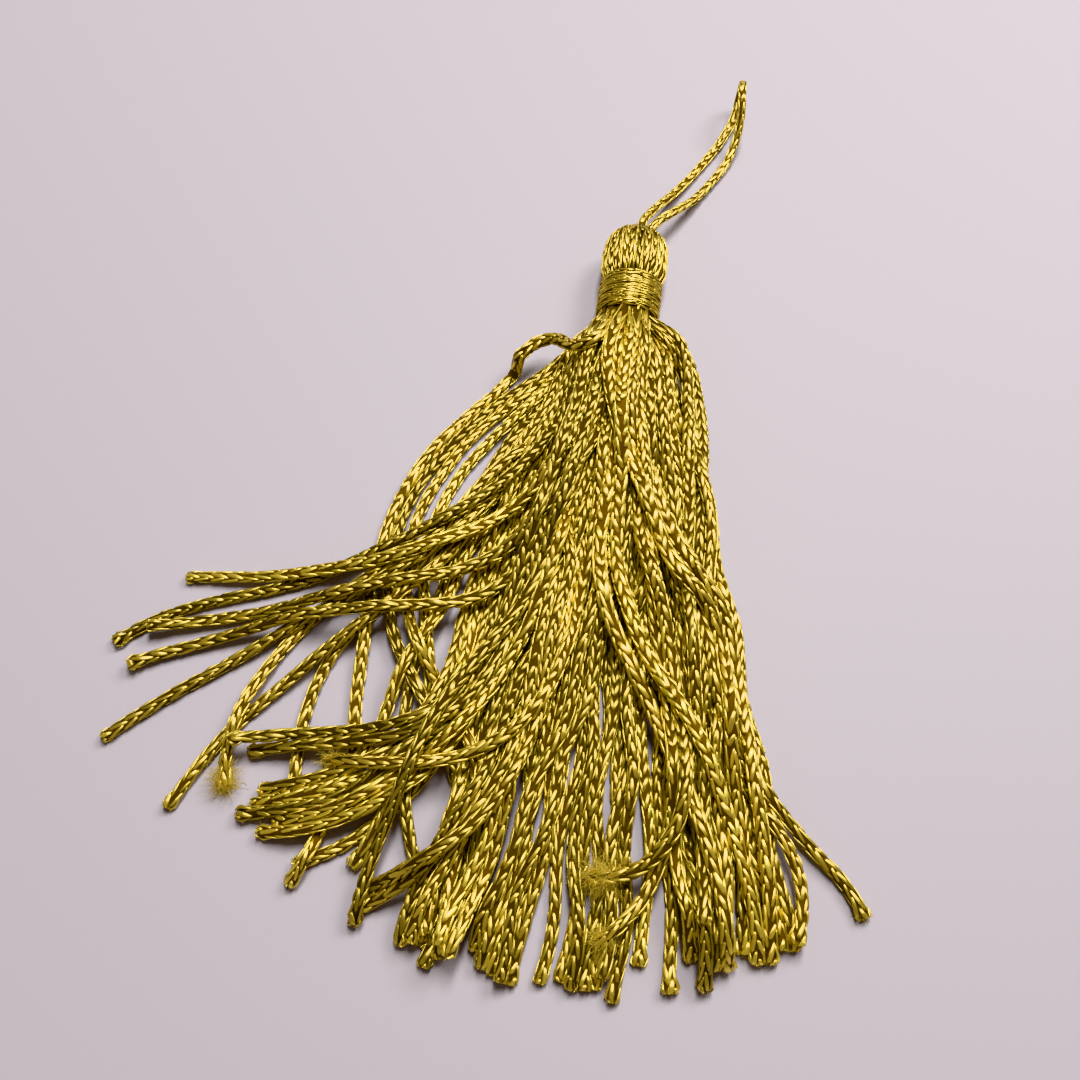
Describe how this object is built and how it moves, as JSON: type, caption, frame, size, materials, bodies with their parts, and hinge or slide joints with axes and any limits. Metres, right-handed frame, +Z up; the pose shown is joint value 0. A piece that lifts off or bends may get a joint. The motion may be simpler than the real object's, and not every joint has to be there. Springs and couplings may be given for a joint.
{
  "type": "silk tassel",
  "caption": "Silk tassel lying flat: knitted cords folded over into a domed head, bound with thread at the neck, fanned out below, with a hanging loop at the crown.",
  "frame": {"origin": "under the neck binding, on the surface that the tassel lies on", "axes": "+Y from the skirt to the crown, +X to the right seen from above with the crown away, +Z up"},
  "size_m": [0.101, 0.148, 0.0102],
  "materials": {
    "silk_cord": "lustrous knitted silk cord, old gold",
    "binding_thread": "tightly wound silk thread, darker gold",
    "loop_cord": "lustrous knitted silk cord, old gold"
  },
  "bodies": {
    "root": {"strand_hank": "silk_cord", "neck_binding": "binding_thread", "hanging_loop": "loop_cord"}
  },
  "joints": []
}
